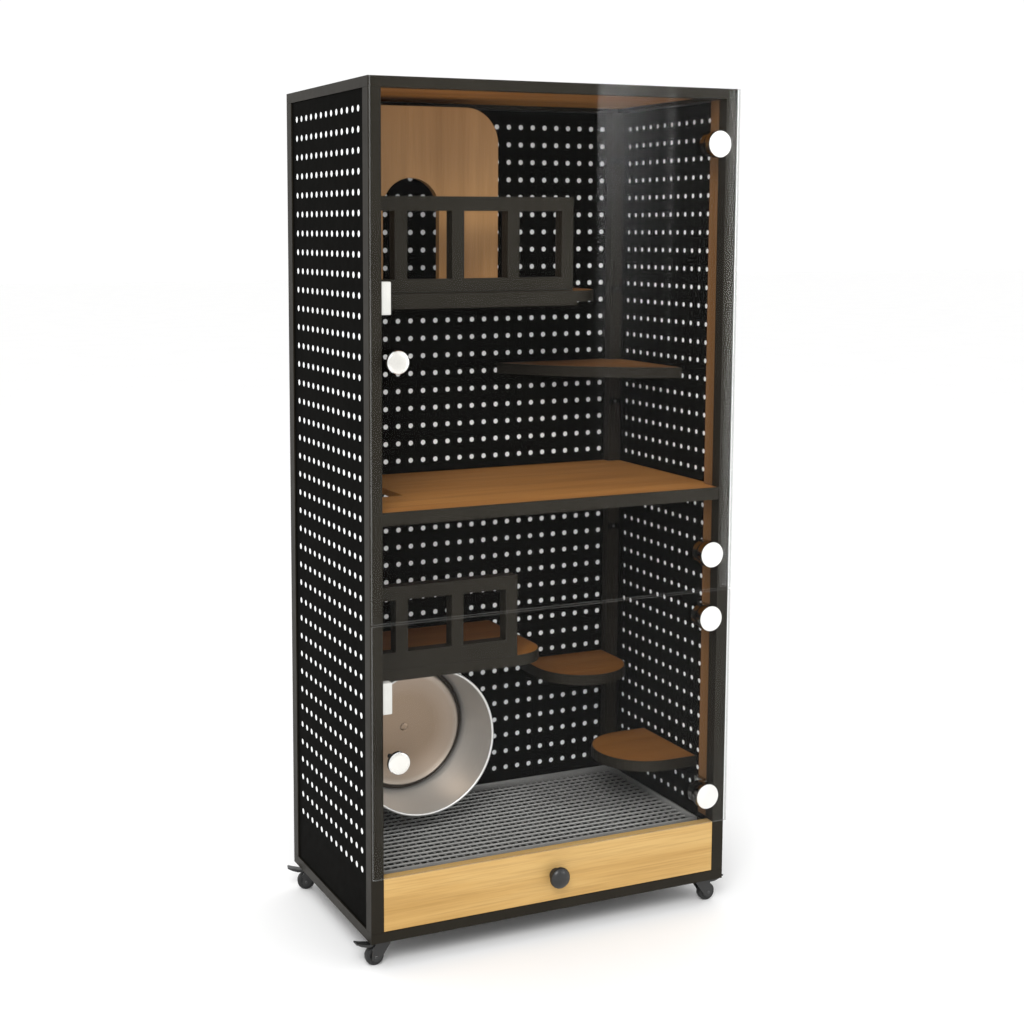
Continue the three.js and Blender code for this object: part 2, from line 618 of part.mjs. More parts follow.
addFrame();
addPanels();
addMidFloor();
addBattens();
addBalconies();
addHouseFront();
addShelves();
addWheel();
addMeshFloor();
addDrawer();
addDoor('upper', DOOR.split + DOOR.splitGap / 2, DOOR_TOP, UPPER_HINGES, UPPER_KNOB_Z, UPPER_CATCH_Z);
addDoor('lower', DOOR_BOTTOM, DOOR.split - DOOR.splitGap / 2, LOWER_HINGES, LOWER_KNOB_Z, LOWER_CATCH_Z);
CASTER_PLACES.forEach(([place, x, y, angle]) => addCaster(place, x, y, angle));

// The door knobs reach furthest forward, so the middle of the depth lies between them and the back.
cage.position.set(-WIDTH / 2, -(DEPTH + KNOB.face) / 2, CASTER_HEIGHT);

export default cage;
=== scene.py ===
"""The looks of a hamster cage: a drilled black steel cabinet with clear doors, wooden floors and
shelves, a spun steel running wheel, a wire mesh floor, a pine litter drawer and braked casters.

Everything is in metres in the row frame: +Z up, -Y towards the doors, the floor at z = 0.
"""
import json
import math

import bmesh
import bpy
from mathutils import Matrix, Vector

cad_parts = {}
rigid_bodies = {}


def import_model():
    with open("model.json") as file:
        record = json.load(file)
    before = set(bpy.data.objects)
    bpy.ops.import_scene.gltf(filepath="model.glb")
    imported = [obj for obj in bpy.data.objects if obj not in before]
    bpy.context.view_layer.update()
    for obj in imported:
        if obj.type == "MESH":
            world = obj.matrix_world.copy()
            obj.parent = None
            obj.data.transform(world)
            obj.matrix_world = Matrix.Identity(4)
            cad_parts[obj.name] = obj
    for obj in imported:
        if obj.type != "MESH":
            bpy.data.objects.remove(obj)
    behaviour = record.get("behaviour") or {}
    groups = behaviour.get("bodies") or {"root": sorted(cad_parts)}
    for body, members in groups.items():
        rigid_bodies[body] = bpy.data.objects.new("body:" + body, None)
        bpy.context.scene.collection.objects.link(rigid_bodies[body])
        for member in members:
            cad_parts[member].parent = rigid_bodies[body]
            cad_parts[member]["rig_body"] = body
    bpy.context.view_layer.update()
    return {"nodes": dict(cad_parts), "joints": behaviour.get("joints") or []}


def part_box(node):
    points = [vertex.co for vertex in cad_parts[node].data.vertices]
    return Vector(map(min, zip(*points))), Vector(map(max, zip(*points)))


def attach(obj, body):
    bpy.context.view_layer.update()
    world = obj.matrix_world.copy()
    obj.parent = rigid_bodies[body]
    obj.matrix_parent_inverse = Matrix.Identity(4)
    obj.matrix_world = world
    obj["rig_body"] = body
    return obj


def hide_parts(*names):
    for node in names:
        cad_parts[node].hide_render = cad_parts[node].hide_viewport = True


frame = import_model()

MM = 0.001
NODES = frame["nodes"]

# The camera stands left of the cage and looks slightly down. Its picture is shifted to match a
# view that was cropped off centre.
CAMERA_PLACE = Vector((-1.1199, -2.1815, 1.0663))
CAMERA_HEADING = math.radians(23.19)
CAMERA_PITCH = math.radians(6.354)
CAMERA_ROLL = math.radians(0.137)
CAMERA_LENS = 55.86
CAMERA_SHIFT = (0.108, -0.1035)
SENSOR_WIDTH = 36
VIEW_DEPTH = 50

# Soft light from the left front, and white light from all round
KEY_PLACE = (-1.8, -2.8, 3.0)
KEY_TARGET = (0, 0, 0.6)
KEY_SIZE = (1.6, 1.6)
KEY_POWER = 90
ROOM_STRENGTH = 1.03
FLOOR_HALF_SIZE = 30

# Two lights that only show as reflections: a wide one whose bands fade downwards, and a narrow
# one near the right edge of the doors. Each stop of the bands and fades is a place and a level.
WINDOW_PLACE = (1.735, -2.4, 0.9)
WINDOW_SIZE = (0.75, 1.5)
WINDOW_POWER = 78
WINDOW_BANDS = ((0.0, 0.6), (0.1, 0.5), (0.32, 0.08), (0.335, 0.35), (0.36, 0.35), (0.375, 0.05),
                (1.0, 0.05))
WINDOW_FADE = ((0.0, 0.0), (0.33, 0.1), (0.6, 0.4), (0.8, 1.0), (1.0, 1.0))
EDGE_PLACE = (0.91, -1.0, 0.83)
EDGE_SIZE = (0.10, 1.09)
EDGE_POWER = 3.6
EDGE_BANDS = ((0.0, 0.0), (0.15, 1.0), (1.0, 1.0))
EDGE_FADE = ((0.0, 0.75), (1.0, 1.0))

# How much of a plain pane's mirroring the doors keep
DOOR_MIRROR = 0.10

# How strongly the film behind the drilled holes shines by itself
FILM_GLOW = 0.16

# Edges that turn more than this are shaded as sharp, and those that turn more than the second
# angle are softened by a bevel
SHARP_ANGLE = math.radians(32)
BEVEL_ANGLE = math.radians(40)

# A radius or gap smaller than this counts as none
NOTHING = 1e-7

# Drilled panels
HOLE_RADIUS = {"left_panel": 4.7 * MM, "right_panel": 3.7 * MM, "back_panel": 4.1 * MM}
HOLE_DEPTH = 0.4 * MM
HOLE_CORNERS = 16
HOLE_ROWS = 39
HOLE_ROW_PITCH = {"left_panel": 28.75 * MM, "right_panel": 28.5 * MM, "back_panel": 28.5 * MM}
HOLE_BOTTOM_ROW = {"left_panel": 140 * MM, "right_panel": 148 * MM, "back_panel": 149 * MM}
SIDE_COLUMNS = 13
SIDE_COLUMN_PITCH = 21.1 * MM
SIDE_FIRST_COLUMN = -113.1 * MM
BACK_COLUMNS = 24
BACK_COLUMN_PITCH = 22.08 * MM
BACK_LAST_COLUMN = 260 * MM

# Straps over the rear posts: their heights above the floor, and half of what one covers
STRAP_LEVELS = (0.556, 0.773, 0.965, 1.180)
STRAP_HALF_HEIGHT = 4.5 * MM
STRAP_THICKNESS = 1.6 * MM

# Running wheel: the radii of the groove round its plate and of the start of its wall, how far the
# plate rises towards the front at its edge, its sheet, bore and hub, how far the hub stands out
# behind the bowl, and the roll along the rim. Then its bracket's plate and screws.
WHEEL_GROOVE = 95 * MM
WHEEL_WALL = 103.5 * MM
PLATE_DISH = 2.5 * MM
WHEEL_SHEET = 1.4 * MM
WHEEL_BORE = 5 * MM
WHEEL_HUB = 12 * MM
HUB_STANDOFF = 3 * MM
RIM_BEAD = 2.2 * MM
RIM_ROLL = math.radians(250)
BRACKET_PLATE = 3 * MM
BRACKET_SCREW = 27 * MM

# Wire mesh floor
MESH_RIM = 3 * MM
LONG_WIRE_RADIUS = 2.0 * MM
CROSS_WIRE_RADIUS = 1.5 * MM
LONG_WIRE_PITCH = 14.0 * MM
CROSS_WIRE_PITCH = 12.0 * MM

# Door hinges and knobs
HINGE_NECK = 13 * MM
HINGE_CUP = 17.5 * MM
PANE_CLEARANCE = 0.3 * MM
KNOB_HEAD = 9 * MM

# Casters
TREAD_HALF_WIDTH = 5.5 * MM
TREAD_INNER = 8.2 * MM
CORE_OUTER = 8.1 * MM
CORE_RECESS = 1.6 * MM
CASTER_BORE = 2.5 * MM
FORK_OUTSIDE = 9.4 * MM


# ---- materials -----------------------------------------------------------------------------

class Shader:
    """A material whose nodes are added and linked in short calls."""

    def __init__(self, name, **inputs):
        self.material = bpy.data.materials.new(name)
        self.material.use_nodes = True
        self.tree = self.material.node_tree
        self.main = self.tree.nodes["Principled BSDF"]
        self.output = self.tree.nodes["Material Output"]
        for key, value in inputs.items():
            self.main.inputs[key.replace("_", " ")].default_value = value

    def node(self, kind, settings=None, **inputs):
        made = self.tree.nodes.new("ShaderNode" + kind)
        for key, value in (settings or {}).items():
            setattr(made, key, value)
        for key, value in inputs.items():
            socket = made.inputs[key.replace("_", " ")]
            if hasattr(value, "node"):
                self.tree.links.new(value, socket)
            else:
                socket.default_value = value
        return made

    def link(self, source, name):
        self.tree.links.new(source, self.main.inputs[name])

    def place(self, scale=(1, 1, 1), turn=(0, 0, 0)):
        coordinates = self.node("TexCoord").outputs["Object"]
        return self.node("Mapping", Vector=coordinates, Scale=scale, Rotation=turn).outputs[0]

    def noise(self, vector, scale, detail=4.0, roughness=0.55, distortion=0.0):
        made = self.node("TexNoise", Vector=vector, Scale=scale, Detail=detail,
                         Roughness=roughness, Distortion=distortion)
        return made.outputs["Fac"]

    def ramp(self, factor, stops):
        made = self.node("ValToRGB", Fac=factor)
        elements = made.color_ramp.elements
        while len(elements) < len(stops):
            elements.new(0.5)
        for element, (position, colour) in zip(elements, stops):
            element.position = position
            element.color = (*colour, 1)
        return made.outputs["Color"]

    def span(self, factor, low, high, from_low=0.0, from_high=1.0):
        made = self.node("MapRange", Value=factor)
        for name, value in zip(("From Min", "From Max", "To Min", "To Max"),
                               (from_low, from_high, low, high)):
            made.inputs[name].default_value = value
        return made.outputs["Result"]

    def math(self, operation, first, second):
        made = self.node("Math", {"operation": operation})
        for socket, value in zip(made.inputs, (first, second)):
            if hasattr(value, "node"):
                self.tree.links.new(value, socket)
            else:
                socket.default_value = value
        return made.outputs[0]

    def mix(self, factor, first, second, blend="MIX"):
        made = self.node("Mix", {"data_type": "RGBA", "blend_type": blend})
        for name, value in zip(("Factor_Float", "A_Color", "B_Color"), (factor, first, second)):
            socket = next(s for s in made.inputs if s.identifier == name)
            if hasattr(value, "node"):
                self.tree.links.new(value, socket)
            else:
                socket.default_value = value
        return next(s for s in made.outputs if s.identifier == "Result_Color")

    def bump(self, height, strength, distance):
        made = self.node("Bump", Height=height, Strength=strength, Distance=distance)
        self.link(made.outputs["Normal"], "Normal")


def powder_coat(name, low, high, ior, rough=(0.40, 0.52)):
    """Satin black paint with a fine orange-peel surface and slight cloudiness."""
    shader = Shader(name, IOR=ior, Specular_Tint=(1.0, 0.95, 0.84, 1))
    place = shader.place()
    cloud = shader.noise(place, 9.0, 3.0)
    shader.link(shader.ramp(cloud, [(0.3, low), (0.7, high)]), "Base Color")
    shader.link(shader.span(shader.noise(place, 60.0), *rough), "Roughness")
    shader.bump(shader.noise(place, 700.0, 2.0), 0.05, 0.0002)
    return shader.material


def stretched(grain, across, along):
    """Mapping scales of a pattern drawn out along the axis grain."""
    scales = [across] * 3
    scales[grain] = along
    return scales


def wood(name, grain, tones, fibre_depth=0.25, shine=(0.40, 0.56)):
    """Oiled board. grain is the axis (0, 1 or 2) that the fibres run along."""
    shader = Shader(name, IOR=1.3)
    figure = shader.noise(shader.place(stretched(grain, 26.0, 1.6)), 1.0, 5.0, 0.6, 0.6)
    drift = shader.noise(shader.place(stretched(grain, 9.0, 0.7)), 1.0, 2.0, 0.5, 0.3)
    fibre = shader.noise(shader.place(stretched(grain, 420.0, 9.0)), 1.0, 3.0, 0.6)
    figure_part = shader.math("MULTIPLY", figure, 0.65)
    drift_part = shader.math("MULTIPLY", drift, 0.35)
    blend = shader.math("ADD", figure_part, drift_part)
    dark, mid, light = tones
    colour = shader.ramp(blend, [(0.34, dark), (0.5, mid), (0.66, light)])
    streaks = shader.ramp(fibre, [(0.3, (0.62, 0.58, 0.54)), (0.55, (1, 1, 1))])
    colour = shader.mix(fibre_depth, colour, shader.mix(1.0, colour, streaks, "MULTIPLY"))
    shader.link(colour, "Base Color")
    shader.link(shader.span(fibre, shine[1], shine[0]), "Roughness")
    shader.bump(fibre, 0.18, 0.0003)
    return shader.material


def metal(name, colour, rough, cloud_depth=0.12):
    """Bare metal, slightly cloudy in colour and gloss."""
    shader = Shader(name, Metallic=1.0)
    cloud = shader.noise(shader.place(), 40.0, 4.0, 0.6)
    darker = tuple(c * (1 - cloud_depth) for c in colour)
    shader.link(shader.ramp(cloud, [(0.3, darker), (0.7, colour)]), "Base Color")
    shader.link(shader.span(cloud, *rough, 0.3, 0.7), "Roughness")
    shader.bump(cloud, 0.08, 0.0001)
    return shader.material


def lathe_steel_with_painted_light(name, centre, groove, wall):
    """Satin steel turned on a lathe about an axis along y through centre. Its colour holds painted
    light: the bowl's floor is a warm grey, a painted reflection of the wood around it, that pales
    outwards into a painted highlight, the groove around it is dark with painted shade, and past the
    radius wall the sides are pale and duller."""
    shader = Shader(name)
    move = shader.node("VectorMath", {"operation": "SUBTRACT"})
    shader.tree.links.new(shader.node("TexCoord").outputs["Object"], move.inputs[0])
    move.inputs[1].default_value = centre
    flat = shader.node("VectorMath", {"operation": "MULTIPLY"})
    shader.tree.links.new(move.outputs[0], flat.inputs[0])
    flat.inputs[1].default_value = (1, 0, 1)
    length = shader.node("VectorMath", {"operation": "LENGTH"})
    shader.tree.links.new(flat.outputs[0], length.inputs[0])
    depth = shader.node("SeparateXYZ", Vector=move.outputs[0]).outputs["Y"]
    radius = length.outputs["Value"]
    ring = shader.node("CombineXYZ", X=radius, Y=depth).outputs[0]
    lines = shader.noise(ring, 420.0, 2.0, 0.6)
    cloud = shader.noise(shader.place(), 9.0, 2.0)
    soft = 1.5 * MM
    low, high = groove - 45 * MM, wall + 5 * MM
    zone = shader.span(radius, 0, 1, low, high)
    # Painted shade for the groove. The stops below also paint the plate warm, as a painted reflection of the
    # wood, and paler outwards, as a painted highlight
    dark = (0.035, 0.028, 0.022)
    stops = [
        (low, (0.265, 0.195, 0.140)), (groove - 12 * MM, (0.34, 0.27, 0.215)),
        (groove, (0.55, 0.48, 0.42)), (groove + soft, dark), (wall - soft, dark),
        (wall, (0.82, 0.81, 0.79)),
    ]
    colour_with_painted_light = shader.ramp(zone, [((place - low) / (high - low), colour) for place, colour in stops])
    streaks = shader.ramp(lines, [(0.3, (0.94, 0.94, 0.94)), (0.7, (1, 1, 1))])
    shader.link(shader.mix(1.0, colour_with_painted_light, streaks, "MULTIPLY"), "Base Color")
    satin = shader.span(radius, 0.30, 0.42, groove, wall)
    shader.link(shader.span(radius, 1.0, 0.8, groove, wall), "Metallic")
    wear = shader.math("MULTIPLY", shader.math("ADD", lines, cloud), 0.05)
    shader.link(shader.math("ADD", satin, wear), "Roughness")
    shader.bump(lines, 0.03, 0.0001)
    return shader.material


def clear_pane(name):
    """A clear door: what is behind it shows through, under a faint mirror of the room."""
    shader = Shader(name)
    shader.tree.nodes.remove(shader.main)
    through = shader.node("BsdfTransparent")
    through.inputs["Color"].default_value = (0.985, 0.99, 0.985, 1)
    mirror = shader.node("BsdfGlossy")
    mirror.inputs["Roughness"].default_value = 0.0
    facing = shader.node("Fresnel", IOR=1.45).outputs[0]
    mixed = shader.node("MixShader")
    shader.tree.links.new(shader.math("MULTIPLY", facing, DOOR_MIRROR), mixed.inputs[0])
    shader.tree.links.new(through.outputs[0], mixed.inputs[1])
    shader.tree.links.new(mirror.outputs[0], mixed.inputs[2])
    shader.tree.links.new(mixed.outputs[0], shader.output.inputs["Surface"])
    return shader.material


def pane_edge(name):
    """The sawn edge of a clear door: a grey half-clear line with little shine."""
    shader = Shader(name, Roughness=0.45, IOR=1.15, Alpha=0.35)
    shader.link(shader.ramp(shader.noise(shader.place(), 18.0, 2.0),
                            [(0.3, (0.20, 0.205, 0.20)), (0.7, (0.26, 0.265, 0.26))]), "Base Color")
    return shader.material


def moulded(name, colour, rough=(0.35, 0.5), grain=700.0, depth=0.08, **extra):
    """Moulded plastic or rubber: fine even grain and a little variation in gloss."""
    shader = Shader(name, **extra)
    place = shader.place()
    cloud = shader.noise(place, 25.0, 2.0)
    darker = tuple(c * 0.88 for c in colour)
    shader.link(shader.ramp(cloud, [(0.3, darker), (0.7, colour)]), "Base Color")
    shader.link(shader.span(cloud, *rough), "Roughness")
    shader.bump(shader.noise(place, grain, 2.0), depth, 0.0003)
    return shader.material


def film(name):
    """The pale film behind the drilled holes. Its faint glow stands in for light from behind."""
    shader = Shader(name, Roughness=0.6, Emission_Color=(0.95, 0.97, 1.0, 1), Emission_Strength=FILM_GLOW)
    shader.link(shader.ramp(shader.noise(shader.place(), 30.0, 2.0),
                            [(0.3, (0.74, 0.75, 0.75)), (0.7, (0.86, 0.86, 0.85))]), "Base Color")
    return shader.material


FRAME_PAINT = powder_coat("frame_paint", (0.0115, 0.0095, 0.0065), (0.0175, 0.015, 0.011), 1.22)
PANEL_PAINT = powder_coat("panel_paint", (0.0014, 0.0013, 0.001), (0.0024, 0.0022, 0.0017), 1.06, (0.5, 0.65))
HOLE_FILM = film("hole_film")
WOOD_ALONG_X = wood("wood_along_x", 0, ((0.29, 0.115, 0.026), (0.40, 0.168, 0.039), (0.50, 0.23, 0.06)))
SHELF_WOOD = wood("shelf_wood", 0, ((0.18, 0.070, 0.014), (0.26, 0.105, 0.022), (0.34, 0.145, 0.034)))
WOOD_UPRIGHT = wood("wood_upright", 2, ((0.12, 0.055, 0.018), (0.17, 0.082, 0.029), (0.22, 0.11, 0.042)))
HOUSE_WOOD = wood("house_wood", 2, ((0.38, 0.20, 0.075), (0.47, 0.255, 0.10), (0.56, 0.32, 0.135)))
PINE = wood("pine", 0, ((0.43, 0.25, 0.075), (0.53, 0.325, 0.11), (0.62, 0.41, 0.16)), 0.42)
CHROME = metal("chrome", (0.80, 0.80, 0.79), (0.06, 0.13), 0.04)
HINGE_STEEL = metal("hinge_steel", (0.40, 0.40, 0.39), (0.16, 0.26), 0.04)
PEARL_CHROME = metal("pearl_chrome", (0.80, 0.785, 0.74), (0.22, 0.3), 0.06)
FITTING_STEEL = metal("fitting_steel", (0.52, 0.52, 0.51), (0.22, 0.34))
DARK_STEEL = metal("dark_steel", (0.10, 0.10, 0.10), (0.25, 0.35))
WIRE_STEEL = moulded("wire_coating", (0.34, 0.335, 0.325), (0.30, 0.42), 300.0, 0.05, Metallic=0.35)
GLASS = clear_pane("clear_door")
GLASS_EDGE = pane_edge("clear_door_edge")
WHITE_PLASTIC = moulded("white_plastic", (0.62, 0.61, 0.58))
WHITE_CAP = moulded("white_cap", (0.80, 0.79, 0.76), (0.18, 0.28), Coat_Weight=0.4, Coat_Roughness=0.08)
BLACK_PLASTIC = moulded("black_plastic", (0.014, 0.014, 0.014), (0.28, 0.4))
BLACK_RUBBER = moulded("black_rubber", (0.011, 0.011, 0.011), (0.6, 0.75), 500.0, 0.15)


# ---- mesh helpers --------------------------------------------------------------------------

class Piece:
    """Solids collected in one mesh, which then rides on a body of the frame."""

    def __init__(self, name, body, slot, *materials):
        self.name = name
        self.body = body
        self.slot = slot
        self.materials = materials
        self.bm = bmesh.new()

    def take(self, other, material):
        for face in other.faces:
            face.material_index = material
        scratch = bpy.data.meshes.new("scratch")
        other.to_mesh(scratch)
        other.free()
        self.bm.from_mesh(scratch)
        bpy.data.meshes.remove(scratch)

    def box(self, low, high, bevel):
        other = bmesh.new()
        size = Vector(high) - Vector(low)
        middle = (Vector(high) + Vector(low)) / 2
        placed = Matrix.Translation(middle) @ Matrix.Diagonal((*size, 1))
        bmesh.ops.create_cube(other, size=1.0, matrix=placed)
        bmesh.ops.bevel(other, geom=list(other.edges), offset=bevel, segments=2, profile=0.5,
                        affect="EDGES")
        self.take(other, 0)

    def turned(self, profile, origin, axis=(0, 1, 0), segments=48, material=0):
        """profile is a list of (radius, distance along axis), from the axis and back to it."""
        other = bmesh.new()
        turn = Vector((0, 0, 1)).rotation_difference(Vector(axis)).to_matrix().to_4x4()
        move = Matrix.Translation(Vector(origin)) @ turn
        rings = []
        for radius, height in profile:
            if radius < NOTHING:
                rings.append([other.verts.new(move @ Vector((0, 0, height)))])
                continue
            ring = []
            for i in range(segments):
                angle = math.tau * i / segments
                point = Vector((radius * math.cos(angle), radius * math.sin(angle), height))
                ring.append(other.verts.new(move @ point))
            rings.append(ring)
        for first, second in zip(rings, rings[1:]):
            for i in range(segments):
                j = (i + 1) % segments
                corners = [first[i % len(first)], first[j % len(first)],
                           second[j % len(second)], second[i % len(second)]]
                unique = list(dict.fromkeys(corners))
                if len(unique) > 2:
                    other.faces.new(unique)
        if len(rings[0]) > 1:
            bmesh.ops.remove_doubles(other, verts=rings[0] + rings[-1], dist=NOTHING)
        bmesh.ops.recalc_face_normals(other, faces=other.faces)
        self.take(other, material)

    def rod(self, start, end, radius, segments):
        start, end = Vector(start), Vector(end)
        length = (end - start).length
        profile = [(0, 0), (radius, 0), (radius, length), (0, length)]
        self.turned(profile, start, (end - start).normalized(), segments)

    def done(self, *replaced):
        mesh = bpy.data.meshes.new(self.name)
        self.bm.to_mesh(mesh)
        self.bm.free()
        for material in self.materials:
            mesh.materials.append(material)
        mesh.polygons.foreach_set("use_smooth", [True] * len(mesh.polygons))
        mesh.set_sharp_from_angle(angle=SHARP_ANGLE)
        made = bpy.data.objects.new(self.name, mesh)
        bpy.context.scene.collection.objects.link(made)
        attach(made, self.body)
        if replaced:
            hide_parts(*replaced)
        return made


def screw_head(piece, place, axis=(0, -1, 0), radius=3.6 * MM, height=1.6 * MM, material=0):
    """A pan head with a round socket, standing on place and pointing along axis."""
    sunk = -0.6 * MM
    piece.turned([
        (0, sunk), (radius, sunk), (radius, height * 0.45), (radius * 0.82, height * 0.85),
        (radius * 0.5, height), (radius * 0.42, height * 0.95), (radius * 0.36, height * 0.3),
        (0, height * 0.25),
    ], place, axis, 20, material)


def dress(node, material, bevel=0.0):
    """Gives a CAD node its material and, where wanted, softened edges."""
    thing = NODES[node]
    thing.data.materials.clear()
    thing.data.materials.append(material)
    thing.data.polygons.foreach_set("material_index", [0] * len(thing.data.polygons))
    thing.data.polygons.foreach_set("use_smooth", [True] * len(thing.data.polygons))
    thing.data.set_sharp_from_angle(angle=SHARP_ANGLE)
    if bevel:
        modifier = thing.modifiers.new("softened_edges", "BEVEL")
        modifier.width = bevel
        modifier.segments = 2
        modifier.limit_method = "ANGLE"
        modifier.angle_limit = BEVEL_ANGLE
        modifier.harden_normals = True


def body_of(node):
    return NODES[node]["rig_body"]


def centre_of(node):
    low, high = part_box(node)
    return (low + high) / 2


# ---- drilled panels ------------------------------------------------------------------------

def middle_lines(centres, low, high):
    """The lines between neighbouring hole centres, from one edge of the panel to the other."""
    return [low] + [(a + b) / 2 for a, b in zip(centres, centres[1:])] + [high]


def drilled_panel(node, across, columns):
    """A board with rows of round holes on both faces, each hole closed by the pale film.
    across is the axis through its thickness, and the columns lie along the other level axis."""
    low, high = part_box(node)
    along = 1 - across
    radius = HOLE_RADIUS[node]
    rows = [HOLE_BOTTOM_ROW[node] + i * HOLE_ROW_PITCH[node] for i in range(HOLE_ROWS)]
    first_lines = middle_lines(columns, low[along], high[along])
    second_lines = middle_lines(rows, low.z, high.z)
    bm = bmesh.new()
    borders = []
    for level, inward in ((low[across], 1), (high[across], -1)):
        def vertex(first, second, depth=0.0):
            point = [0.0, 0.0, second]
            point[along] = first
            point[across] = level + inward * depth
            return bm.verts.new(point)
        grid = [[vertex(a, b) for b in second_lines] for a in first_lines]
        for i, column in enumerate(columns):
            for j, row in enumerate(rows):
                corners = [grid[i + 1][j + 1], grid[i][j + 1], grid[i][j], grid[i + 1][j]]
                rim, floor = [], []
                for k in range(HOLE_CORNERS):
                    angle = math.pi / 4 + math.tau * k / HOLE_CORNERS
                    first = column + radius * math.cos(angle)
                    second = row + radius * math.sin(angle)
                    rim.append(vertex(first, second))
                    floor.append(vertex(first, second, HOLE_DEPTH))
                quarter = HOLE_CORNERS // 4
                for side in range(4):
                    arc = [rim[(side * quarter + k) % HOLE_CORNERS] for k in range(quarter + 1)]
                    bm.faces.new([corners[side], corners[(side + 1) % 4]] + arc[::-1])
                for k in range(HOLE_CORNERS):
                    k2 = (k + 1) % HOLE_CORNERS
                    bm.faces.new([rim[k], rim[k2], floor[k2], floor[k]])
                bm.faces.new(floor).material_index = 1
        top = [column[-1] for column in grid]
        bottom = [column[0] for column in grid]
        borders.append(bottom + grid[-1][1:] + top[-2::-1] + grid[0][-2:0:-1])
    for i in range(len(borders[0])):
        j = (i + 1) % len(borders[0])
        bm.faces.new([borders[0][i], borders[0][j], borders[1][j], borders[1][i]])
    bmesh.ops.recalc_face_normals(bm, faces=bm.faces)
    piece = Piece(node + "_drilled", body_of(node), "panel_paint", PANEL_PAINT, HOLE_FILM)
    piece.bm.free()
    piece.bm = bm
    piece.done(node)


def make_panels():
    sides = [SIDE_FIRST_COLUMN + i * SIDE_COLUMN_PITCH for i in range(SIDE_COLUMNS)]
    backs = sorted(BACK_LAST_COLUMN - i * BACK_COLUMN_PITCH for i in range(BACK_COLUMNS))
    drilled_panel("left_panel", 0, sides)
    drilled_panel("right_panel", 0, sides)
    drilled_panel("back_panel", 1, backs)


# ---- frame, boards and trays ---------------------------------------------------------------

def make_frame():
    for node in ("post_front_left", "post_front_right", "post_rear_left", "post_rear_right",
                 "top_frame", "bottom_frame", "mid_front_beam"):
        dress(node, FRAME_PAINT, 0.9 * MM)
    for node in ("upper_railing", "lower_railing", "mesh_ledge"):
        dress(node, FRAME_PAINT, 0.6 * MM)
    for shelf in ("upper_balcony", "lower_balcony", "corner_shelf", "mid_shelf", "low_shelf"):
        dress(shelf + "_tray", FRAME_PAINT, 0.4 * MM)
        dress(shelf + "_board", SHELF_WOOD, 0.5 * MM)
    dress("ceiling_board", WOOD_ALONG_X, 0.5 * MM)
    dress("mid_floor_board", WOOD_ALONG_X, 0.8 * MM)
    dress("hinge_batten_lower", WOOD_UPRIGHT, 1.0 * MM)
    dress("hinge_batten_upper", WOOD_UPRIGHT, 1.0 * MM)
    dress("house_front_board", HOUSE_WOOD, 1.0 * MM)
    make_corner_straps()


def make_corner_straps():
    """Short black straps over the rear posts, which hold the panels together."""
    for side in ("left", "right"):
        post = "post_rear_" + side
        low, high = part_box(post)
        piece = Piece(f"corner_straps_{side}", body_of(post), "frame_paint", PANEL_PAINT, DARK_STEEL)
        inner = min(abs(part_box("left_panel")[1].x), abs(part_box("right_panel")[0].x))
        ends = sorted((math.copysign(inner, low.x), high.x if side == "left" else low.x))
        middle = (ends[0] + ends[1]) / 2
        front = low.y - STRAP_THICKNESS
        for z in STRAP_LEVELS:
            piece.box((ends[0], front, z - STRAP_HALF_HEIGHT),
                      (ends[1], low.y - 0.1 * MM, z + STRAP_HALF_HEIGHT), 0.5 * MM)
            screw_head(piece, (middle, front, z), radius=2.4 * MM, height=0.9 * MM, material=1)
        piece.done()


# ---- running wheel -------------------------------------------------------------------------

WHEEL_CENTRE = centre_of("running_wheel")
# The wheel's steel, whose colour holds a painted reflection, a painted highlight and painted shade in the
# groove
WHEEL_STEEL_PAINTED_LIGHT = lathe_steel_with_painted_light("lathe_steel_with_painted_light", tuple(WHEEL_CENTRE), WHEEL_GROOVE, WHEEL_WALL)


def make_wheel():
    low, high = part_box("running_wheel")
    origin = (WHEEL_CENTRE.x, 0, WHEEL_CENTRE.z)
    back = high.y - HUB_STANDOFF
    make_bowl((high.x - low.x) / 2, low.y, back, high.y, origin)
    make_axle(back, high.y, origin)


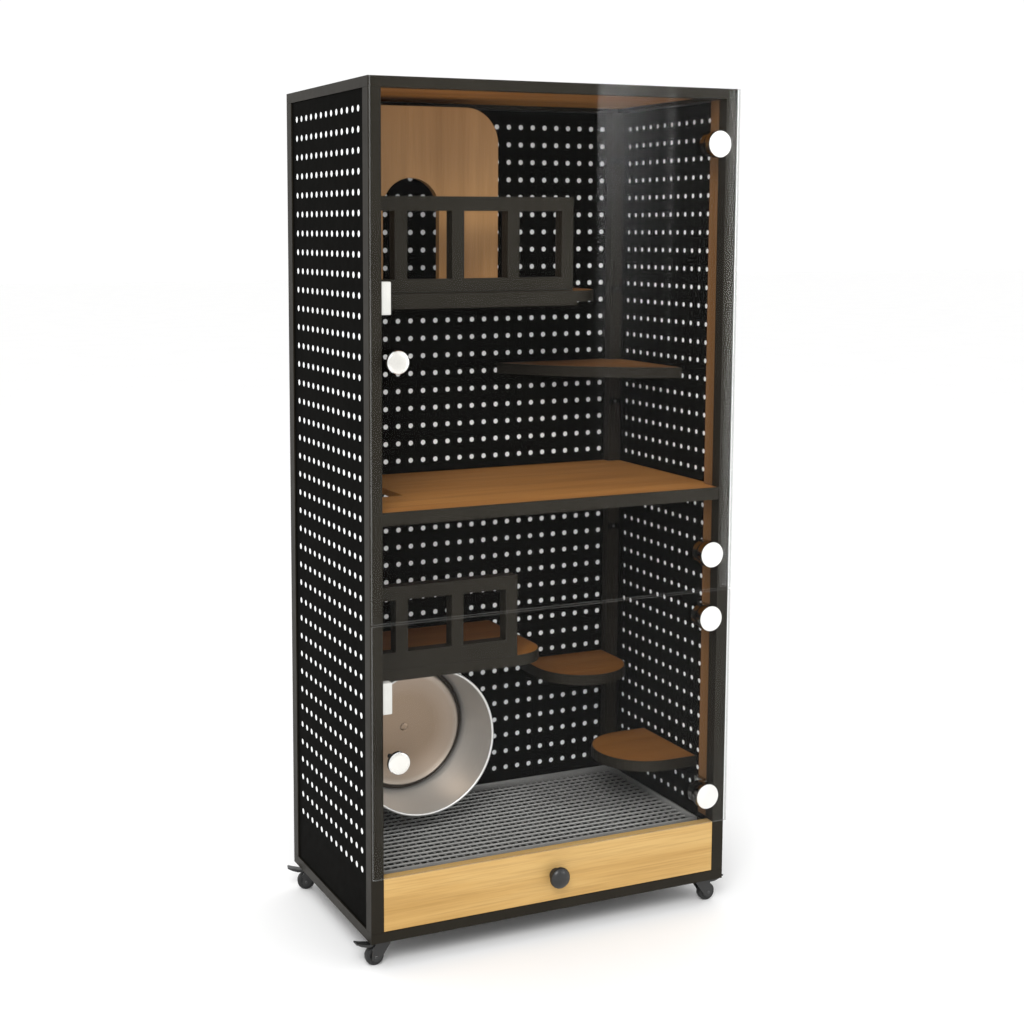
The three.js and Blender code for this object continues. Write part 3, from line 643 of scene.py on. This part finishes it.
def make_bowl(rim, front, back, hub_back, origin):
    """The bowl's section runs over its plate, the groove, the wall and the rolled rim, and then
    back along the outside. rim is its outer radius, and the rest are places along y."""
    floor = rim - 15 * MM
    inside = [(WHEEL_BORE, back - 9 * MM)]
    for i in range(6):
        radius = 45 * MM + (floor - 57 * MM) * i / 5
        inside.append((radius, back - 9 * MM - PLATE_DISH * (i / 5) ** 2))
    inside += [
        (floor - 10 * MM, back - 10.8 * MM), (floor - 8.6 * MM, back - 9.4 * MM),
        (floor - 7.6 * MM, back - 6.5 * MM), (floor - 7 * MM, back - 2.5 * MM),
        (floor - 5.5 * MM, back - WHEEL_SHEET), (floor - 2.5 * MM, back - WHEEL_SHEET - 0.2 * MM),
        (floor - 0.6 * MM, back - 3.2 * MM), (floor + 0.4 * MM, back - 7 * MM),
    ]
    wall_start = inside[-1]
    wall_end = (rim - 2 * RIM_BEAD, front + 2 * RIM_BEAD)
    for i in range(1, 9):
        t = i / 8
        bulge = 1.6 * MM * math.sin(math.pi * t)
        radius = wall_start[0] + (wall_end[0] - wall_start[0]) * t + bulge
        inside.append((radius, wall_start[1] + (wall_end[1] - wall_start[1]) * t))
    roll = []
    for i in range(9):
        angle = math.pi + RIM_ROLL * i / 8
        roll.append((rim - RIM_BEAD + RIM_BEAD * math.cos(angle),
                     front + RIM_BEAD + RIM_BEAD * math.sin(angle)))
    # The outside follows the wall, which is the last ten points of the inside
    wall = inside[:-11:-1]
    outside = [(radius + WHEEL_SHEET, y + WHEEL_SHEET * 0.6) for radius, y in wall]
    behind = [
        (floor - 6 * MM, back), (floor - 8.6 * MM, back - 3 * MM),
        (floor - 9.5 * MM, back - 6.6 * MM), (floor - 13 * MM, back - 7 * MM),
        (WHEEL_HUB, back - 7.4 * MM), (WHEEL_HUB, hub_back), (WHEEL_BORE, hub_back),
    ]
    piece = Piece("running_wheel_bowl", body_of("running_wheel"), "steel", WHEEL_STEEL_PAINTED_LIGHT)
    piece.turned(inside + roll + outside + behind + inside[:1], origin, segments=120)
    piece.done("running_wheel")


def make_axle(wheel_back, hub_back, origin):
    """The axle with its flat cap in front of the bowl, its collar, and the plate on the panel."""
    low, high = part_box("wheel_bracket")
    face = high.y - BRACKET_PLATE
    cap = wheel_back - 10 * MM
    axle = 3.6 * MM
    collar = 14 * MM
    piece = Piece("wheel_axle_and_plate", body_of("wheel_bracket"), "steel", FITTING_STEEL, WHEEL_STEEL_PAINTED_LIGHT)
    piece.turned([
        (0, cap - 1.2 * MM), (3 * MM, cap - 1.1 * MM), (5 * MM, cap - 0.7 * MM), (6.5 * MM, cap),
        (axle, cap), (axle, face), (0, face),
    ], origin, segments=40, material=1)
    piece.turned([
        (0, hub_back + 1 * MM), (12 * MM, hub_back + 1 * MM), (collar, hub_back + 3 * MM),
        (collar, face - 0.2 * MM), (0, face - 0.2 * MM),
    ], origin, segments=40)
    piece.box((low.x, face, low.z), (high.x, high.y, high.z), 1 * MM)
    for dx in (-BRACKET_SCREW, BRACKET_SCREW):
        for dz in (-BRACKET_SCREW, BRACKET_SCREW):
            screw_head(piece, (WHEEL_CENTRE.x + dx, face, WHEEL_CENTRE.z + dz))
    piece.done("wheel_bracket")


# ---- wire mesh floor -----------------------------------------------------------------------

def make_mesh_floor():
    """Thick wires from side to side, sunk halfway into thinner cross wires, inside a raised rim."""
    low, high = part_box("mesh_floor")
    piece = Piece("wire_mesh_floor", body_of("mesh_floor"), "steel", WIRE_STEEL)
    rim = MESH_RIM
    bevel = 0.9 * MM
    piece.box((low.x, low.y, low.z), (high.x, low.y + rim, high.z), bevel)
    piece.box((low.x, high.y - rim, low.z), (high.x, high.y, high.z), bevel)
    piece.box((low.x, low.y + rim, low.z), (low.x + rim, high.y - rim, high.z), bevel)
    piece.box((high.x - rim, low.y + rim, low.z), (high.x, high.y - rim, high.z), bevel)
    lower = low.z + 1.4 * MM
    upper = lower + CROSS_WIRE_RADIUS * 0.5 + LONG_WIRE_RADIUS * 0.5
    columns = round((high.x - low.x - 2 * rim) / CROSS_WIRE_PITCH)
    for i in range(1, columns):
        x = low.x + rim + (high.x - low.x - 2 * rim) * i / columns
        piece.rod((x, low.y + rim / 2, lower), (x, high.y - rim / 2, lower), CROSS_WIRE_RADIUS, 6)
    rows = round((high.y - low.y - 2 * rim) / LONG_WIRE_PITCH)
    for i in range(1, rows):
        y = low.y + rim + (high.y - low.y - 2 * rim) * i / rows
        piece.rod((low.x + rim / 2, y, upper), (high.x - rim / 2, y, upper), LONG_WIRE_RADIUS, 10)
    piece.done("mesh_floor")


# ---- drawer --------------------------------------------------------------------------------

def make_drawer():
    dress("drawer_front", PINE, 1.2 * MM)
    dress("drawer_pan", FRAME_PAINT, 0.3 * MM)
    low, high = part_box("drawer_knob")
    radius = (high.x - low.x) / 2
    depth = high.y - low.y
    profile = [
        (0, 0), (radius * 0.62, 0), (radius * 0.6, depth * 0.12), (radius * 0.52, depth * 0.3),
        (radius * 0.6, depth * 0.4), (radius * 0.86, depth * 0.47), (radius * 0.98, depth * 0.55),
    ]
    for i in range(1, 9):
        angle = math.pi / 2 * i / 8
        profile.append((radius * math.cos(angle), depth * (0.6 + 0.4 * math.sin(angle))))
    profile[-1] = (0, depth)
    middle = centre_of("drawer_knob")
    knob = Piece("drawer_knob_round", body_of("drawer_knob"), "black_plastic", BLACK_PLASTIC)
    knob.turned(profile, (middle.x, high.y, middle.z), (0, -1, 0), 48)
    knob.done("drawer_knob")


# ---- doors ---------------------------------------------------------------------------------

def make_hinge_cup(node):
    """The metal cup behind the pane, its neck through the pane, and the capped disc in front."""
    low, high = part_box(node)
    middle = centre_of(node)
    radius = (high.x - low.x) / 2
    depth = high.y - low.y
    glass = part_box("upper_door_panel")
    glass_front = high.y - glass[0].y + PANE_CLEARANCE
    glass_back = high.y - glass[1].y - PANE_CLEARANCE
    origin = (middle.x, high.y, middle.z)
    piece = Piece(node + "_turned", body_of(node), "chrome", HINGE_STEEL, WHITE_CAP)
    piece.turned([
        (0, 0), (HINGE_CUP - 1.2 * MM, 0), (HINGE_CUP, 1.2 * MM), (HINGE_CUP, glass_back),
        (HINGE_NECK, glass_back), (HINGE_NECK, glass_front), (radius - 0.6 * MM, glass_front),
        (radius, glass_front + 0.6 * MM),
        (radius, depth - 2.2 * MM), (radius - 0.5 * MM, depth - 1.4 * MM), (0, depth - 1.4 * MM),
    ], origin, (0, -1, 0), 64)
    piece.turned([
        (0, depth - 1.6 * MM), (radius - 1.0 * MM, depth - 1.6 * MM), (radius - 0.8 * MM, depth - 0.9 * MM),
        (radius - 1.6 * MM, depth - 0.25 * MM), (radius * 0.6, depth), (0, depth),
    ], origin, (0, -1, 0), 64, 1)
    piece.done(node)


def make_hinge_arm(node):
    """The arm on the batten, with two screws in its side."""
    dress(node, HINGE_STEEL, 0.8 * MM)
    low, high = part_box(node)
    middle = centre_of(node)
    piece = Piece(node + "_screws", body_of(node), "chrome", FITTING_STEEL)
    side = low.x + 15.2 * MM
    for dz in (-7 * MM, 7 * MM):
        screw_head(piece, (side, high.y - 8 * MM, middle.z + dz), (-1, 0, 0), 2.8 * MM, 1.2 * MM)
    piece.done()


def make_door_knob(node):
    """A chrome knob with a pearly face, and a black screw and washer behind the pane."""
    low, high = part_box(node)
    middle = centre_of(node)
    radius = (high.x - low.x) / 2
    depth = high.y - low.y
    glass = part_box("upper_door_panel")
    glass_front = high.y - glass[0].y
    glass_back = high.y - glass[1].y
    origin = (middle.x, high.y, middle.z)
    head = depth - KNOB_HEAD
    piece = Piece(node + "_turned", body_of(node), "chrome", CHROME, BLACK_RUBBER, PEARL_CHROME)
    piece.turned([
        (0, glass_back + 0.1 * MM), (4 * MM, glass_back + 0.1 * MM), (4 * MM, glass_front + 0.2 * MM),
        (8 * MM, glass_front + 0.4 * MM), (8.5 * MM, glass_front + 2 * MM), (7 * MM, glass_front + 4 * MM),
        (7 * MM, head - 2 * MM), (radius - 3 * MM, head - 0.5 * MM), (radius - 1 * MM, head),
        (radius, head + 1 * MM), (radius, depth - 2.4 * MM), (radius - 0.7 * MM, depth - 1.4 * MM),
        (0, depth - 1.4 * MM),
    ], origin, (0, -1, 0), 64)
    piece.turned([
        (0, depth - 1.6 * MM), (radius - 0.9 * MM, depth - 1.6 * MM), (radius - 1.2 * MM, depth - 1.0 * MM),
        (radius - 2.2 * MM, depth - 0.5 * MM), (radius * 0.7, depth - 0.15 * MM), (0, depth),
    ], origin, (0, -1, 0), 64, 2)
    piece.turned([
        (0, -12 * MM), (2.6 * MM, -12 * MM), (3.4 * MM, -11 * MM), (3.4 * MM, 0), (5.2 * MM, 0),
        (6.2 * MM, 0.6 * MM), (6.5 * MM, 2 * MM), (6.5 * MM, glass_back - 0.2 * MM),
        (0, glass_back - 0.2 * MM),
    ], origin, (0, -1, 0), 32, 1)
    piece.done(node)


def make_catch(node):
    """The white housing of a magnetic catch."""
    low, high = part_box(node)
    piece = Piece(node + "_housing", body_of(node), "white", WHITE_PLASTIC)
    piece.box(low, high, 1.2 * MM)
    piece.done(node)


def make_pane(node):
    """Clear faces, and a second material on the narrow faces around the edge."""
    dress(node, GLASS)
    NODES[node].visible_diffuse = False
    NODES[node].visible_glossy = False
    NODES[node].visible_shadow = False
    pane = NODES[node].data
    pane.materials.append(GLASS_EDGE)
    for face in pane.polygons:
        face.material_index = 0 if abs(face.normal.y) > 0.9 else 1


def make_doors():
    for door in ("upper", "lower"):
        make_pane(door + "_door_panel")
        for level in ("top", "bottom"):
            make_hinge_cup(f"{door}_hinge_cup_{level}")
            make_hinge_arm(f"{door}_hinge_arm_{level}")
        make_door_knob(door + "_door_knob")
        make_catch(door + "_magnet_catch")


# ---- casters -------------------------------------------------------------------------------

def make_caster(place):
    """A tread on a plastic core, between the plain fork with its two rivet heads and the lever."""
    fork = f"caster_{place}_fork"
    wheel = f"caster_{place}_wheel"
    dress(fork, BLACK_PLASTIC, 0.4 * MM)
    dress(f"caster_{place}_brake_lever", BLACK_PLASTIC, 0.8 * MM)
    joint = next(j for j in frame["joints"] if j["child"] == body_of(wheel))
    axis = Vector(joint["axis"])
    centre = Vector(joint["pos_m"])
    radius = centre.z
    half = TREAD_HALF_WIDTH
    tread = Piece(wheel + "_turned", body_of(wheel), "rubber", BLACK_RUBBER, BLACK_PLASTIC)
    tread.turned([
        (TREAD_INNER, -half), (radius - 2 * MM, -half), (radius - 0.5 * MM, -half + 0.8 * MM),
        (radius, -half + 2.4 * MM), (radius, half - 2.4 * MM), (radius - 0.5 * MM, half - 0.8 * MM),
        (radius - 2 * MM, half), (TREAD_INNER, half), (TREAD_INNER, -half),
    ], centre, axis, 48)
    recess = half - CORE_RECESS
    tread.turned([
        (CASTER_BORE, -half), (5 * MM, -half), (5.4 * MM, -recess), (CORE_OUTER, -recess),
        (CORE_OUTER, recess), (5.4 * MM, recess), (5 * MM, half), (CASTER_BORE, half),
        (CASTER_BORE, -half),
    ], centre, axis, 32, 1)
    tread.done(wheel)
    rivet = Piece(fork + "_rivet", body_of(fork), "steel", DARK_STEEL)
    for side in (-1, 1):
        screw_head(rivet, centre + axis * side * FORK_OUTSIDE, axis * side, 2.6 * MM, 1.0 * MM)
    rivet.done()


# ---- camera, floor and lights --------------------------------------------------------------

def make_camera():
    camera = bpy.data.cameras.new("camera")
    camera.lens = CAMERA_LENS
    camera.sensor_width = SENSOR_WIDTH
    camera.shift_x, camera.shift_y = CAMERA_SHIFT
    camera.clip_end = VIEW_DEPTH
    thing = bpy.data.objects.new("camera", camera)
    level = Matrix.Rotation(-CAMERA_HEADING, 4, "Z")
    tilt = Matrix.Rotation(math.pi / 2 - CAMERA_PITCH, 4, "X")
    roll = Matrix.Rotation(-CAMERA_ROLL, 4, "Z")
    thing.matrix_world = Matrix.Translation(CAMERA_PLACE) @ level @ tilt @ roll
    bpy.context.scene.collection.objects.link(thing)
    bpy.context.scene.camera = thing


def make_stage():
    bm = bmesh.new()
    bmesh.ops.create_grid(bm, x_segments=1, y_segments=1, size=FLOOR_HALF_SIZE)
    mesh = bpy.data.meshes.new("floor")
    bm.to_mesh(mesh)
    bm.free()
    floor = bpy.data.objects.new("floor", mesh)
    bpy.context.scene.collection.objects.link(floor)
    shader = Shader("floor_paint", Roughness=0.9)
    cloud = shader.noise(shader.place(), 3.0, 2.0)
    shader.link(shader.ramp(cloud, [(0.3, (0.955, 0.955, 0.955)), (0.7, (0.975, 0.975, 0.97))]), "Base Color")
    mesh.materials.append(shader.material)


def area_light(name, place, target, size, power):
    light = bpy.data.lights.new(name, "AREA")
    light.shape = "RECTANGLE"
    light.size, light.size_y = size
    light.energy = power
    thing = bpy.data.objects.new(name, light)
    thing.location = place
    thing.rotation_euler = (Vector(target) - Vector(place)).to_track_quat("-Z", "Y").to_euler()
    thing.visible_camera = False
    bpy.context.scene.collection.objects.link(thing)
    return thing


def reflected_light(name, place, size, power, bands, fade):
    """A light that faces the plane y = 0 and lights nothing matt. Its brightness changes in
    upright bands from left to right, and along fade from bottom to top."""
    thing = area_light(name, place, (place[0], 0, place[2]), size, power)
    thing.visible_diffuse = False
    light = thing.data
    light.use_nodes = True
    tree = light.node_tree
    emission = next(n for n in tree.nodes if n.type == "EMISSION")
    across = tree.nodes.new("ShaderNodeNewGeometry").outputs["Parametric"]
    split = tree.nodes.new("ShaderNodeSeparateXYZ")
    tree.links.new(across, split.inputs[0])
    product = tree.nodes.new("ShaderNodeMath")
    product.operation = "MULTIPLY"
    for index, (output, stops) in enumerate((("X", bands), ("Y", fade))):
        ramp = tree.nodes.new("ShaderNodeValToRGB")
        tree.links.new(split.outputs[output], ramp.inputs["Fac"])
        elements = ramp.color_ramp.elements
        while len(elements) < len(stops):
            elements.new(0.5)
        for element, (position, level) in zip(elements, stops):
            element.position = position
            element.color = (level, level, level, 1)
        tree.links.new(ramp.outputs["Color"], product.inputs[index])
    tree.links.new(product.outputs[0], emission.inputs["Strength"])


def make_lights():
    world = bpy.data.worlds.new("studio")
    bpy.context.scene.world = world
    world.use_nodes = True
    background = world.node_tree.nodes["Background"]
    background.inputs["Color"].default_value = (1.0, 1.0, 1.0, 1)
    background.inputs["Strength"].default_value = ROOM_STRENGTH
    area_light("key", KEY_PLACE, KEY_TARGET, KEY_SIZE, KEY_POWER)
    reflected_light("window", WINDOW_PLACE, WINDOW_SIZE, WINDOW_POWER, WINDOW_BANDS, WINDOW_FADE)
    reflected_light("door_edge", EDGE_PLACE, EDGE_SIZE, EDGE_POWER, EDGE_BANDS, EDGE_FADE)
    bpy.context.scene.view_settings.view_transform = "Standard"


make_camera()
make_stage()
make_lights()
make_panels()
make_frame()
make_wheel()
make_mesh_floor()
make_drawer()
make_doors()
for caster_place in ("front_left", "front_right", "rear_left", "rear_right"):
    make_caster(caster_place)
